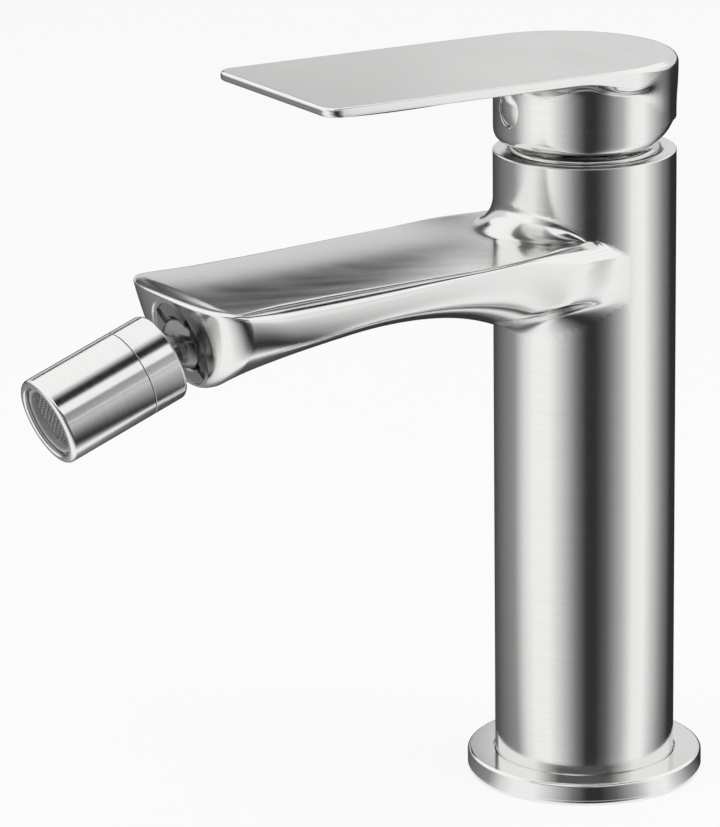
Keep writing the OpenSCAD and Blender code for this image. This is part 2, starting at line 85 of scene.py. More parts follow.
def smooth(piece, angle=30):
    """Smooth shading, with true edges kept and flat faces kept flat."""
    bpy.ops.object.select_all(action="DESELECT")
    piece.select_set(True)
    bpy.context.view_layer.objects.active = piece
    bpy.ops.object.shade_smooth_by_angle(angle=math.radians(angle))
    bpy.ops.object.modifier_add(type="WEIGHTED_NORMAL")
    piece.modifiers[-1].keep_sharp = True
    bpy.ops.object.modifier_apply(modifier=piece.modifiers[-1].name)
    return piece


def brushed_steel(name, tone, roughness, grain_pitch=0.0):
    """Satin metal with fine lines round an upright axis, or round one pitched about X."""
    metal = bpy.data.materials.new(name)
    metal.use_nodes = True
    nodes, links = metal.node_tree.nodes, metal.node_tree.links
    shader = nodes["Principled BSDF"]
    shader.inputs["Metallic"].default_value = 1.0
    place = nodes.new("ShaderNodeTexCoord")
    line_l, line_w = 25 * MM, 0.2 * MM
    grain = nodes.new("ShaderNodeMapping")
    grain.vector_type = "TEXTURE"
    grain.inputs["Rotation"].default_value = (grain_pitch, 0, 0)
    grain.inputs["Scale"].default_value = (line_l, line_l, line_w)
    links.new(place.outputs["Object"], grain.inputs["Vector"])
    lines = nodes.new("ShaderNodeTexNoise")
    lines.inputs["Scale"].default_value = 1.0
    lines.inputs["Detail"].default_value = 3.0
    links.new(grain.outputs["Vector"], lines.inputs["Vector"])
    colours = nodes.new("ShaderNodeValToRGB")
    colours.color_ramp.elements[0].position = 0.3
    colours.color_ramp.elements[1].position = 0.7
    colours.color_ramp.elements[0].color = (*[0.96 * c for c in tone], 1)
    colours.color_ramp.elements[1].color = (*[1.03 * c for c in tone], 1)
    links.new(lines.outputs["Fac"], colours.inputs["Fac"])
    links.new(colours.outputs["Color"], shader.inputs["Base Color"])
    haze = nodes.new("ShaderNodeMapRange")
    haze.inputs["From Min"].default_value = 0.3
    haze.inputs["From Max"].default_value = 0.7
    haze.inputs["To Min"].default_value = roughness - 0.02
    haze.inputs["To Max"].default_value = roughness + 0.02
    links.new(lines.outputs["Fac"], haze.inputs["Value"])
    links.new(haze.outputs["Result"], shader.inputs["Roughness"])
    scratch = nodes.new("ShaderNodeBump")
    scratch.inputs["Strength"].default_value = 0.015
    scratch.inputs["Distance"].default_value = 0.05 * MM
    links.new(lines.outputs["Fac"], scratch.inputs["Height"])
    links.new(scratch.outputs["Normal"], shader.inputs["Normal"])
    return metal


def dress(piece, material):
    """The piece shows this one material."""
    piece.data.materials.clear()
    piece.data.materials.append(material)
    return piece


satin_tone = (0.88, 0.875, 0.865)
satin_steel = brushed_steel("satin steel", satin_tone, 0.15)

flange_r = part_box("base_flange")[1].x
flange_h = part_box("base_flange")[1].z
column_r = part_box("mixer_body")[1].y
flange_bore = column_r + 0.1 * MM
flange_edge = 0.9 * MM
seam_h = 1.2 * MM
seam_in = 0.35 * MM
seam_round = 0.3 * MM
flange_break = 0.4 * MM
flange_profile = [(flange_bore, 0), (flange_r - seam_in, 0), (flange_r - seam_in, seam_h)]
flange_profile += round_edge(flange_r - seam_round, seam_h + seam_round, seam_round, -90, 0, 3)
flange_profile += round_edge(flange_r - flange_edge, flange_h - flange_edge, flange_edge, 0, 90)
flange_profile += [(flange_bore + flange_break, flange_h), (flange_bore, flange_h - flange_break)]
flange = dress(smooth(turned("foot_flange", flange_profile, 192)), satin_steel)
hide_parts("base_flange")
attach(flange, "mixer")

# The body
# Column and spout are one casting, ground and brushed: a round column, and a spout with a flat top,
# full sides that turn under, an arched underside and a pitched end face with the nozzle's socket.
rim_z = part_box("mixer_body")[1].z
swivel = next(j for j in frame["joints"] if j["name"] == "nozzle_swivel")
ball = Vector(swivel["pos_m"])
socket_axis = Vector(swivel["axis"])
socket_pitch = math.asin(-socket_axis.z)
face_l = 3.5 * MM
end_middle = ball + face_l * socket_axis

rim_round = 0.35 * MM
row_heights = [0, 40, 80] + [106 + 2 * k for k in range(26)]
column_profile = [(column_r, row_height * MM) for row_height in row_heights]
column_profile += round_edge(column_r - rim_round, rim_z - rim_round, rim_round, 0, 90, 4)
body = turned("mixer_body_shell", column_profile, 256, hollow=False)

spout_half = 24.5 * MM
spout_top = rim_z - 17.7 * MM
spout_fall = math.tan(math.radians(0.9))
arch_r = 93.5 * MM
arch_f = 66 * MM
arch_low = spout_top - 14.5 * MM - arch_r
chin_z = end_middle.z - 12.7 * MM
crease_f = -end_middle.y - 1.5 * MM
crease_round = 0.4 * MM
nose_fall = math.tan(math.radians(9))
crown_h = 0.7 * MM
end_bow = 4.5 * MM
top_steps, edge_steps, side_steps = 14, 8, 24
half_steps = top_steps + edge_steps + side_steps
corner_turn = math.radians(59)
side_turn = math.radians(86)
root_fillet = 7.2 * MM
root_corner_back = 3.2 * MM
rise_power, lean_power = 3.5, 2.5
top_root_f, side_root_f = 30 * MM, 24 * MM
edge_root, edge_root_more = 4, 2.3
blend_middle, blend_more, blend_in = 4, 12, 0.55
meet_share, meet_most = 0.96, 0.985
skin_in = 0.005 * MM
reach_share = 0.4


def ease(low, high, value):
    """0 below low, 1 above high, and a smooth change between."""
    share = min(1.0, max(0.0, (value - low) / (high - low)))
    return share * share * (3 - 2 * share)


def spout_top_z(f):
    """The top's middle line: it falls a little, then bends down to the nose."""
    past = 0.5 * (f - crease_f + math.hypot(f - crease_f, crease_round))
    return spout_top - f * spout_fall - past * (nose_fall - spout_fall)


def spout_low_z(f):
    """The underside's middle line: an arch that runs out into the level chin under the socket."""
    arch = arch_low + math.sqrt(max(0.0, arch_r ** 2 - (f - arch_f) ** 2))
    chin_round = 1.5 * MM
    return 0.5 * (arch + chin_z + math.sqrt((arch - chin_z) ** 2 + chin_round ** 2))


def top_edge_round(f):
    """The radius of the top's long edges: wide at the column, fine past it, fuller towards the end."""
    least, at_root, at_end, at_nose = 1.2, 4, 2.4, 1.6
    shoulder = at_root * (1 - ease(12 * MM, 34 * MM, f))
    nose = at_nose * ease(98 * MM, 112 * MM, f)
    return (least + shoulder + at_end * ease(35 * MM, 90 * MM, f) - nose) * MM


def section_point(i, f):
    """Point i of the right half of the spout's section, from the top's middle to the bottom's middle."""
    edge = top_edge_round(f)
    top = spout_top_z(f)
    crown = crown_h * ease(20 * MM, 45 * MM, f)
    if i <= top_steps:
        crowding = 1.25
        share = 1 - (1 - i / top_steps) ** crowding
        return share * (spout_half - edge), top - crown * share ** 2
    top -= crown
    if i <= top_steps + edge_steps:
        a = math.radians(90) * (i - top_steps) / edge_steps
        return spout_half - edge * (1 - math.sin(a)), top - edge * (1 - math.cos(a))
    a = math.radians(90) * (i - top_steps - edge_steps) / side_steps
    at_root, at_arch, at_end = 2.4, 0.4, 1.0
    fullness = at_root + at_arch * ease(25 * MM, 65 * MM, f) - at_end * ease(80 * MM, 112 * MM, f)
    depth = top - edge - spout_low_z(f)
    x = spout_half * max(0.0, math.cos(a)) ** (2 / fullness)
    return x, top - edge - depth * math.sin(a) ** (2 / fullness)


def root_curve(i):
    """Where line i of the spout leaves the column and where it runs straight: a curve's four points."""
    if i <= top_steps:
        x = section_point(i, top_root_f)[0]
        turn = corner_turn * x / section_point(top_steps, top_root_f)[0]
        rise = root_fillet * (1 - (turn / corner_turn) ** rise_power)
        start_f = column_r * math.cos(turn) + root_fillet - root_corner_back * (turn / corner_turn) ** 2
        z = spout_top_z(start_f) + rise
        lean = math.radians(90) * (turn / corner_turn) ** lean_power
        away = -1
    elif i <= top_steps + edge_steps:
        share = (i - top_steps) / edge_steps
        turn = corner_turn + (side_turn - corner_turn) * share ** 0.8
        start_f = column_r * math.cos(corner_turn) + (edge_root + edge_root_more * share) * MM
        z = section_point(i, start_f)[1]
        lean = math.radians(90)
        away = -1
    else:
        x = section_point(i, side_root_f)[0]
        sideways = (x / spout_half) ** 2
        blend = (blend_middle + blend_more * ease(2 * MM, 14 * MM, x)) * MM
        meet = math.asin(min(meet_most, meet_share * x / column_r))
        turn = min(side_turn, meet + blend_in * blend * sideways / column_r)
        start_f = column_r * math.cos(meet) + blend
        lean = math.atan2(sideways, 1 - sideways)
        z = section_point(i, start_f)[1] - blend_in * blend * (1 - sideways)
        away = 1
    skin = column_r - skin_in
    start = Vector((skin * math.sin(turn), -skin * math.cos(turn), z))
    forward = Vector((-math.cos(turn), -math.sin(turn), 0))
    leave = forward * math.sin(lean) + Vector((0, 0, away * math.cos(lean)))
    end_x, end_z = section_point(i, start_f)
    end = Vector((end_x, -start_f, end_z))
    reach = reach_share * (end - start).length
    ahead = Vector((0, -1, -spout_fall if i <= top_steps else 0))
    return start, start + reach * leave, end - reach * ahead, end


def on_curve(points, t):
    """The point of a cubic curve at a share of its way."""
    a, b, c, d = points
    return (1 - t) ** 3 * a + 3 * t * (1 - t) ** 2 * b + 3 * t * t * (1 - t) * c + t ** 3 * d


def end_round(i):
    """How far before the end face line i of the skin starts to turn in to it."""
    at_top, at_corner, corner_more, low_less = 2.6, 4.0, 1.4, 2.4
    if i <= top_steps:
        return at_top * MM
    if i <= top_steps + edge_steps:
        return (at_top + corner_more * (i - top_steps) / edge_steps) * MM
    return (at_corner - low_less * ease(0.3, 0.9, (i - top_steps - edge_steps) / side_steps)) * MM


def end_f(x, z):
    """The end face: pitched down, flat round the socket and bowed back towards the spout's sides."""
    flat = -end_middle.y + (z - end_middle.z) * math.tan(socket_pitch)
    return flat - end_bow * min(1.0, abs(x) / spout_half) ** 3


sunk_share = 0.9
least_nose = 1.2 * MM
rim_across, rim_above, rim_below = 0.8, 0.95, 0.92
face_lift = 0.43 * MM


def spout_line(i, root_rows, straight_rows, end_rows, face_rows):
    """One line along the spout's skin, from inside the column over the crease to its end face."""
    curve = root_curve(i)
    inside = Vector((curve[0].x * sunk_share, curve[0].y * sunk_share, curve[0].z))
    line = [inside] + [on_curve(curve, k / root_rows) for k in range(root_rows + 1)]
    start_f = -curve[3].y
    radius = end_round(i)
    x, z = section_point(i, end_f(0, end_middle.z))
    stop_f = end_f(x, z) - radius
    bend_f = min(crease_f, stop_f - least_nose)
    straight = bend_f - crease_round - start_f
    stops = [start_f + straight * k / straight_rows for k in range(1, straight_rows + 1)]
    stops += [bend_f, bend_f + crease_round, (bend_f + crease_round + stop_f) / 2, stop_f]
    for f in stops:
        x, z = section_point(i, f)
        line.append(Vector((x, -f, z)))
    rim_x = rim_across * x
    rim_lift = (rim_above if z > end_middle.z else rim_below) * (z - end_middle.z)
    for k in range(1, end_rows + 1):
        a = math.radians(90) * k / end_rows
        row_x = x + (rim_x - x) * (1 - math.cos(a))
        row_z = z + (end_middle.z + rim_lift - z) * (1 - math.cos(a))
        line.append(Vector((row_x, -end_f(row_x, row_z) + radius * (1 - math.sin(a)), row_z)))
    for k in range(1, face_rows + 1):
        x = row_x * (1 - k / face_rows)
        z = row_z + (end_middle.z + face_lift - row_z) * k / face_rows
        line.append(Vector((x, -end_f(x, z), z)))
    return line


def wrapped(name, lines):
    """A tube of faces from a grid: one column of its vertices is laid along each line."""
    across, along = len(lines), len(lines[0]) - 1
    bpy.ops.object.select_all(action="DESELECT")
    bpy.ops.mesh.primitive_grid_add(x_subdivisions=across, y_subdivisions=along, size=1, location=(0, 0, 0))
    piece = bpy.context.object
    piece.name = piece.data.name = name
    for v in piece.data.vertices:
        column = round((v.co.x + 0.5) * across) % across
        row = round((v.co.y + 0.5) * along)
        v.co = lines[column][row]
    bpy.ops.object.mode_set(mode="EDIT")
    bpy.ops.mesh.select_all(action="SELECT")
    bpy.ops.mesh.remove_doubles(threshold=0.0005 * MM)
    bpy.ops.mesh.select_all(action="DESELECT")
    bpy.ops.mesh.select_mode(type="EDGE")
    bpy.ops.mesh.select_non_manifold(extend=False, use_wire=False, use_boundary=True, use_multi_face=False,
                                     use_non_contiguous=False, use_verts=False)
    bpy.ops.mesh.edge_face_add()
    bpy.ops.mesh.select_mode(type="VERT")
    bpy.ops.mesh.select_all(action="SELECT")
    bpy.ops.mesh.normals_make_consistent(inside=False)
    bpy.ops.object.mode_set(mode="OBJECT")
    return piece


def carve(piece, tool, operation="DIFFERENCE"):
    """The piece is cut by the tool, or joined with it, and the tool is thrown away."""
    bpy.ops.object.select_all(action="DESELECT")
    piece.select_set(True)
    bpy.context.view_layer.objects.active = piece
    bpy.ops.object.modifier_add(type="BOOLEAN")
    joint = piece.modifiers[-1]
    joint.operation = operation
    joint.solver = "EXACT"
    joint.object = tool
    bpy.ops.object.modifier_apply(modifier=joint.name)
    bpy.data.objects.remove(tool)
    return piece


def mirrored(lines):
    """Lines of the right half, then the same lines of the left half on the way back."""
    left = [[Vector((-p.x, p.y, p.z)) for p in line] for line in lines[-2:0:-1]]
    return lines + left


spout = wrapped("spout", mirrored([spout_line(i, 14, 40, 6, 8) for i in range(half_steps + 1)]))
carve(body, spout, "UNION")


def set_on_axis(piece, middle, pitch):
    """Turns a lathe piece so that its +Z runs forward, pitched down, and sets it on a point of the axis."""
    bpy.ops.object.select_all(action="DESELECT")
    piece.select_set(True)
    bpy.context.view_layer.objects.active = piece
    piece.rotation_euler = (math.radians(90) + pitch, 0, 0)
    piece.location = middle
    bpy.ops.object.transform_apply(location=True, rotation=True, scale=True)
    return piece


bore_r, thread_r, cavity_r = 17.9 * MM, 19.1 * MM, 19.9 * MM
seat_z, web_z, nut_z = rim_z - 36.7 * MM, rim_z - 48.7 * MM, rim_z - 7.4 * MM
rim_break = 0.3 * MM
bore_profile = [(bore_r, seat_z), (bore_r, nut_z), (thread_r, nut_z), (thread_r, rim_z - rim_break)]
bore_profile += [(thread_r + 2 * rim_break, rim_z + rim_break)]
carve(body, turned("bore_tool", bore_profile, 96, hollow=False))
carve(body, turned("cavity_tool", [(cavity_r, -1 * MM), (cavity_r, web_z)], 96, hollow=False))
socket_r, recess_r, throat_r = 10.5 * MM, 11.8 * MM, 7.4 * MM
recess_h, ring_low, throat_low = 0.6 * MM, -2 * MM, -10.5 * MM
recess_break = 0.2 * MM
socket_profile = [(throat_r, throat_low), (throat_r, ring_low), (socket_r, ring_low)]
socket_profile += [(socket_r, face_l - recess_h), (recess_r, face_l - recess_h)]
socket_profile += [(recess_r, face_l - recess_break), (recess_r + 2 * recess_break, face_l + recess_break)]
carve(body, set_on_axis(turned("socket_tool", socket_profile, 96, hollow=False), ball, socket_pitch))
weld = 0.02 * MM
bpy.ops.object.mode_set(mode="EDIT")
bpy.ops.mesh.select_all(action="SELECT")
bpy.ops.mesh.remove_doubles(threshold=weld)
bpy.ops.mesh.dissolve_degenerate(threshold=weld)
bpy.ops.object.mode_set(mode="OBJECT")
dress(smooth(body), satin_steel)
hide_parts("mixer_body")
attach(body, "mixer")

# The cartridge cover
# A pressed and polished ring that hides the cartridge nut; its top shows under the lever's skirt.
def plain_metal(name, tone, roughness, speck=0.03, scale=900):
    """Polished or machined metal with a faint even grain."""
    metal = bpy.data.materials.new(name)
    metal.use_nodes = True
    nodes, links = metal.node_tree.nodes, metal.node_tree.links
    shader = nodes["Principled BSDF"]
    shader.inputs["Metallic"].default_value = 1.0
    place = nodes.new("ShaderNodeTexCoord")
    grain = nodes.new("ShaderNodeTexNoise")
    grain.inputs["Scale"].default_value = scale
    grain.inputs["Detail"].default_value = 2.0
    links.new(place.outputs["Object"], grain.inputs["Vector"])
    colours = nodes.new("ShaderNodeValToRGB")
    colours.color_ramp.elements[0].color = (*[0.9 * c for c in tone], 1)
    colours.color_ramp.elements[1].color = (*[min(1, 1.1 * c) for c in tone], 1)
    links.new(grain.outputs["Fac"], colours.inputs["Fac"])
    links.new(colours.outputs["Color"], shader.inputs["Base Color"])
    haze = nodes.new("ShaderNodeMapRange")
    haze.inputs["To Min"].default_value = roughness - speck
    haze.inputs["To Max"].default_value = roughness + speck
    links.new(grain.outputs["Fac"], haze.inputs["Value"])
    links.new(haze.outputs["Result"], shader.inputs["Roughness"])
    return metal


bright_steel = plain_metal("bright steel", (0.7, 0.7, 0.69), 0.09)
cover_low, cover_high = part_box("dome_cover")
cover_r = cover_high.x
wall_r = cover_r - 0.5 * MM
cover_hole = 12.2 * MM
cover_round = 1.3 * MM
cover_wall = 0.8 * MM
bead_h, bead_top = 0.9 * MM, 1.3 * MM
hole_break = 0.2 * MM
crown_z = cover_high.z - 0.1 * MM
cover_profile = [(cover_r, cover_low.z), (cover_r, cover_low.z + bead_h), (wall_r, cover_low.z + bead_top)]
cover_profile += round_edge(wall_r - cover_round, crown_z - cover_round, cover_round, 0, 85)
cover_profile += [(cover_hole + hole_break, cover_high.z), (cover_hole, cover_high.z - hole_break)]
cover_profile += [(cover_hole, cover_high.z - cover_wall), (wall_r - cover_round, crown_z - cover_wall)]
cover_profile += [(wall_r - cover_wall, crown_z - cover_round), (wall_r - cover_wall, cover_low.z)]
cover = dress(smooth(turned("cartridge_cover", cover_profile, 160)), bright_steel)
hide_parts("dome_cover")
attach(cover, "mixer")

# The lever handle
# One casting, brushed: a round skirt that flows into a flat paddle. The paddle's edge is a thin band
# that widens into the skirt at the back, and its underside is scooped where it meets the skirt.
handle_low, handle_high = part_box("handle")
skirt_r = 22.4 * MM
skirt_bore = 19.8 * MM
skirt_z = handle_low.z
paddle_half = handle_high.x
paddle_tip = -handle_low.y
paddle_back = -4.7 * MM
back_bulge = 0.3 * MM
tip_corner = 4 * MM
paddle_top = skirt_z + 21.899 * MM
paddle_rise = math.tan(math.radians(0.8))
paddle_edge = 2.3 * MM
lift_slope = math.tan(math.radians(20))
lift_clear = skirt_z - 1.46 * MM
foot_in, foot_in_back = 2.0, 0.4
foot_up, foot_up_back = 2.8, 0.8
wall_up, wall_back_less = 14, 8.5
edge_fine, edge_tip, edge_back = 0.45, 0.4, 1.8
side_depth = 4.5 * MM
scoop_rise = 3.6 * MM
back_steps, side_rows, corner_steps, tip_steps = 24, 30, 6, 12


def paddle_outline():
    """The right half of the paddle's outline, from the middle of its round back to the middle of its tip."""
    points = []
    for k in range(back_steps + 1):
        a = math.radians(90) * k / back_steps
        y = paddle_back + (paddle_half + back_bulge) * math.cos(a)
        points.append(Vector((paddle_half * math.sin(a), y, 0)))
    side_end = tip_corner - paddle_tip
    for k in range(1, side_rows + 1):
        points.append(Vector((paddle_half, paddle_back + (side_end - paddle_back) * k / side_rows, 0)))
    for k in range(1, corner_steps + 1):
        a = math.radians(90) * k / corner_steps
        x = paddle_half - tip_corner * (1 - math.cos(a))
        points.append(Vector((x, side_end - tip_corner * math.sin(a), 0)))
    for k in range(1, tip_steps + 1):
        points.append(Vector(((paddle_half - tip_corner) * (1 - k / tip_steps), -paddle_tip, 0)))
    return points


def ease_turn(low, high, turn):
    """The same smooth change between two angles, which are in degrees."""
    return ease(math.radians(low), math.radians(high), turn)


def handle_line(edge_point, outline_normal):
    """One line of the handle's skin: up the skirt, out under the paddle and round its edge to the top."""
    turn = math.atan2(edge_point.x, -edge_point.y)
    out = Vector((math.sin(turn), -math.cos(turn), 0))
    back = ease_turn(54, 84, turn)
    far_back = ease_turn(105, 150, turn)
    lower = ease_turn(86, 126, turn)
    up = Vector((0, 0, 1))
    foot_r = skirt_r - (foot_in + foot_in_back * far_back) * MM
    foot_z = max(skirt_z, lift_clear - foot_r * math.cos(turn) * lift_slope)
    foot_h = (foot_up + foot_up_back * far_back) * MM
    line = [out * (skirt_bore - 0.5 * MM) + up * foot_z]
    for k in range(7):
        a = math.radians(90) * k / 6
        row_r = foot_r + (skirt_r - foot_r) * math.sin(a)
        line.append(out * row_r + up * (foot_z + foot_h * (1 - math.cos(a))))
    wall_z = skirt_z + (wall_up - wall_back_less * lower) * MM
    line += [out * skirt_r + up * (foot_z + foot_h + (wall_z - foot_z - foot_h) * k / 4) for k in range(1, 5)]
    top_z = paddle_top - edge_point.y * paddle_rise
    near_tip = 1 - ease_turn(12, 22, turn)
    edge_round = (edge_fine + edge_tip * near_tip + edge_back * ease_turn(62, 118, turn)) * MM
    crown = edge_point - outline_normal * edge_round + up * (top_z - edge_round)
    lean = back * max(0.0, math.atan2(skirt_r - edge_point.length, top_z - edge_round - wall_z))
    leaning = up * math.cos(lean) - outline_normal * math.sin(lean)
    side_end = edge_point + up * (top_z - side_depth)
    facing = outline_normal * math.cos(lean) + up * math.sin(lean)
    round_end = crown + edge_round * facing - leaning * 0.1 * MM
    back_end = side_end.lerp(round_end, ease_turn(86, 106, turn))
    front_end = edge_point - outline_normal * edge_round + up * (top_z - paddle_edge)
    start = out * skirt_r + up * wall_z
    end = front_end.lerp(back_end, back)
    span = (end - start).length
    flat = Vector((end.x, end.y, 0)) - Vector((start.x, start.y, 0))
    aim = flat.normalized() if flat.length > 0.01 * MM else out
    arrive = ((aim * 0.97 + up * 0.12) * (1 - back) + leaning * back).normalized()
    rise = scoop_rise * (1 - back) + 0.45 * span * back
    curve = (start, start + up * rise, end - arrive * span * (0.62 - 0.17 * back), end)
    line += [on_curve(curve, k / 14) for k in range(1, 15)]
    low_round = edge_round * (1 - back)
    for k in range(1, 5):
        a = math.radians(90) * k / 4
        lifted = up * (low_round + 0.02 * MM * k) * (1 - math.cos(a))
        line.append(end + outline_normal * low_round * math.sin(a) + lifted)
    for k in range(6):
        a = lean + (math.radians(90) - lean) * k / 5
        line.append(crown + outline_normal * edge_round * math.cos(a) + up * edge_round * math.sin(a))
    return line


outline = paddle_outline()
handle_lines = []
for k, point in enumerate(outline):
    ahead_point = outline[min(k + 1, len(outline) - 1)]
    behind_point = outline[max(k - 1, 0)]
    along = (ahead_point - behind_point).normalized()
    normal = Vector((-along.y, along.x, 0))
    if k == 0:
        normal = Vector((0, 1, 0))
    if k == len(outline) - 1:
        normal = Vector((0, -1, 0))
    handle_lines.append(handle_line(point, normal))
handle = wrapped("lever_handle", mirrored(handle_lines))
boss_r, boss_z, cavity_top = 8 * MM, skirt_z + 4.9 * MM, skirt_z + 11.8 * MM
cavity_profile = [(skirt_bore, skirt_z - 4 * MM), (skirt_bore, cavity_top), (boss_r, cavity_top), (boss_r, boss_z)]
carve(handle, turned("handle_cavity_tool", cavity_profile, 96, hollow=False))


def block(name, low, high):
    """A square-edged tool between two corners."""
    bpy.ops.object.select_all(action="DESELECT")
    bpy.ops.mesh.primitive_cube_add(size=1, location=(low + high) / 2, scale=high - low)
    tool = bpy.context.object
    tool.name = tool.data.name = name
    bpy.ops.object.transform_apply(location=True, rotation=True, scale=True)
    return tool


stem_half = 4.05 * MM
stem_top = skirt_z + 13.9 * MM
stem_low, stem_high = Vector((-stem_half, -stem_half, skirt_z)), Vector((stem_half, stem_half, stem_top))
carve(handle, block("stem_hole_tool", stem_low, stem_high))
plug_low, plug_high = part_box("handle_plug")
plug_r = plug_high.x
plug_z = (plug_low.z + plug_high.z) / 2
plug_hole = plug_r + 0.12 * MM
plug_seat = -plug_high.y - 0.6 * MM
screw_hole = 2.6 * MM
plug_tool = [(screw_hole, 2 * MM), (screw_hole, plug_seat), (plug_hole, plug_seat), (plug_hole, skirt_r - 0.25 * MM)]
plug_tool += [(plug_hole + 0.5 * MM, skirt_r + 0.3 * MM), (plug_hole + 0.5 * MM, skirt_r + 2 * MM)]
carve(handle, set_on_axis(turned("plug_hole_tool", plug_tool, 64, hollow=False), Vector((0, 0, plug_z)), 0))
dress(smooth(handle), satin_steel)
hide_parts("handle")
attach(handle, "lever")

# The screw cover
# A turned button with a domed face, pressed into the skirt over the handle's screw.
plug_face = -plug_low.y
plug_crown = 0.8 * MM
crown_r = (plug_r ** 2 + plug_crown ** 2) / (2 * plug_crown)
crown_turn = math.degrees(math.asin((plug_r - 0.25 * MM) / crown_r))
plug_profile = [(plug_r - 0.2 * MM, -plug_high.y), (plug_r, 0.2 * MM - plug_high.y), (plug_r, plug_face - plug_crown)]
plug_profile += round_edge(0, plug_face - crown_r, crown_r, 90 - crown_turn, 88, 8)
plug = turned("screw_cover", plug_profile, 64, hollow=False)
dress(smooth(set_on_axis(plug, Vector((0, 0, plug_z)), 0)), satin_steel)
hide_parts("handle_plug")
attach(plug, "lever")

# The retaining ring
# A turned and polished ring, screwed into the socket so that the ball can't leave it.
# Four slots in its face take a pin key.
ring_r, seat_r, lip_r = socket_r - 0.05 * MM, 7.1 * MM, 6.9 * MM
ring_face = 2.7 * MM
ring_round = 0.3 * MM
lip_low = math.sqrt(seat_r ** 2 - lip_r ** 2)
ring_profile = [(ring_r, ring_low)]
ring_profile += round_edge(ring_r - ring_round, ring_face - ring_round, ring_round, 0, 90, 4)
ring_profile += [(lip_r + ring_round, ring_face), (lip_r, ring_face - ring_round)]
lip_turn, foot_turn = math.degrees(math.asin(lip_low / seat_r)), math.degrees(math.asin(ring_low / seat_r))
ring_profile += round_edge(0, 0, seat_r, lip_turn, foot_turn, 8)
retaining_ring = turned("retaining_ring_face", ring_profile, 128)
slot_w, slot_h = 2.6 * MM, 1.4 * MM
slot_low = Vector((seat_r - 0.6 * MM, -slot_w / 2, ring_face - slot_h))
slot_high = Vector((ring_r + MM, slot_w / 2, ring_face + MM))
for k in range(4):
    slot_tool = block("slot_tool", slot_low, slot_high)
    slot_tool.rotation_euler = (0, 0, math.radians(45 + 90 * k))
    bpy.ops.object.transform_apply(location=True, rotation=True, scale=True)
    carve(retaining_ring, slot_tool)
ring_steel = plain_metal("ring steel", (0.55, 0.55, 0.54), 0.24)
dress(smooth(set_on_axis(retaining_ring, ball, socket_pitch)), ring_steel)
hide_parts("retaining_ring")
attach(retaining_ring, "mixer")

# The ball and neck
# Turned in one piece and polished: the ball turns in the socket, the bored neck screws into the nozzle.
nozzle_pitch = math.radians(20)
ball_r, neck_r, neck_bore, neck_end = 7 * MM, 4.5 * MM, 2.5 * MM, 12 * MM
neck_fillet = 0.5 * MM
groove_in = neck_r - 0.4 * MM
bore_turn = math.degrees(math.acos(neck_bore / ball_r))
neck_turn = math.degrees(math.acos((neck_r + neck_fillet) / ball_r))
ball_profile = round_edge(0, 0, ball_r, -bore_turn, neck_turn, 28)
ball_profile += [(neck_r, ball_r * math.sin(math.radians(neck_turn)) + neck_fillet), (neck_r, 6.5 * MM)]
ball_profile += [(groove_in, 6.8 * MM), (groove_in, 7.5 * MM), (neck_r, 7.8 * MM)]
ball_profile += [(neck_r, neck_end), (neck_bore, neck_end)]
nozzle_ball = turned("ball_and_neck", ball_profile, 96)
# The ball's tone is painted dark: painted shade and painted dark reflection, standing in for the shadow in the socket
# and the dark nozzle that the ball mirrors.
ball_steel_painted_dark = plain_metal("ball steel with painted shade", (0.24, 0.24, 0.24), 0.16)
dress(smooth(set_on_axis(nozzle_ball, ball, nozzle_pitch)), ball_steel_painted_dark)
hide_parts("nozzle_ball")
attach(nozzle_ball, "nozzle")

# The nozzle
# Two turned and brushed tubes: a collar that is screwed to the neck, and a sleeve on the collar's spigot.
# A hairline shows where they meet, and the sleeve's mouth has a rounded lip.
nozzle_steel = brushed_steel("nozzle steel", satin_tone, 0.15, math.radians(90) + nozzle_pitch)
nozzle_r = 10.9 * MM
collar_low, collar_high = 8.6 * MM, 17.6 * MM
collar_back, collar_bore, spigot_bore = 12 * MM, 4.55 * MM, 8.55 * MM
back_round, seam_break = 0.9 * MM, 0.06 * MM
collar_profile = [(collar_bore, collar_low)]
collar_profile += round_edge(nozzle_r - back_round, collar_low + back_round, back_round, -90, 0)
collar_profile += [(nozzle_r, collar_high - seam_break), (nozzle_r - seam_break, collar_high)]
collar_profile += [(spigot_bore, collar_high), (spigot_bore, collar_back), (collar_bore, collar_back)]
collar = turned("nozzle_collar_shell", collar_profile, 128)
dress(smooth(set_on_axis(collar, ball, nozzle_pitch)), nozzle_steel)
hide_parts("nozzle_collar")
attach(collar, "nozzle")

sleeve_low, sleeve_high = 17.8 * MM, 41.5 * MM
spigot_r, spigot_in, spigot_low = 8.5 * MM, 6.9 * MM, 13.5 * MM
mouth_r, mouth_low = 8.9 * MM, 28 * MM
lip_round = 1.1 * MM
sleeve_profile = [(spigot_in, spigot_low), (spigot_r, spigot_low), (spigot_r, sleeve_low)]
sleeve_profile += [(nozzle_r - seam_break, sleeve_low), (nozzle_r, sleeve_low + seam_break)]
sleeve_profile += round_edge(nozzle_r - lip_round, sleeve_high - lip_round, lip_round, 0, 90)
sleeve_profile += [(mouth_r + 0.3 * MM, sleeve_high), (mouth_r, sleeve_high - 0.3 * MM)]
sleeve_profile += [(mouth_r, mouth_low), (spigot_in, mouth_low)]
sleeve = turned("nozzle_sleeve_shell", sleeve_profile, 128)
dress(smooth(set_on_axis(sleeve, ball, nozzle_pitch)), nozzle_steel)
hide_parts("nozzle_sleeve")
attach(sleeve, "nozzle")

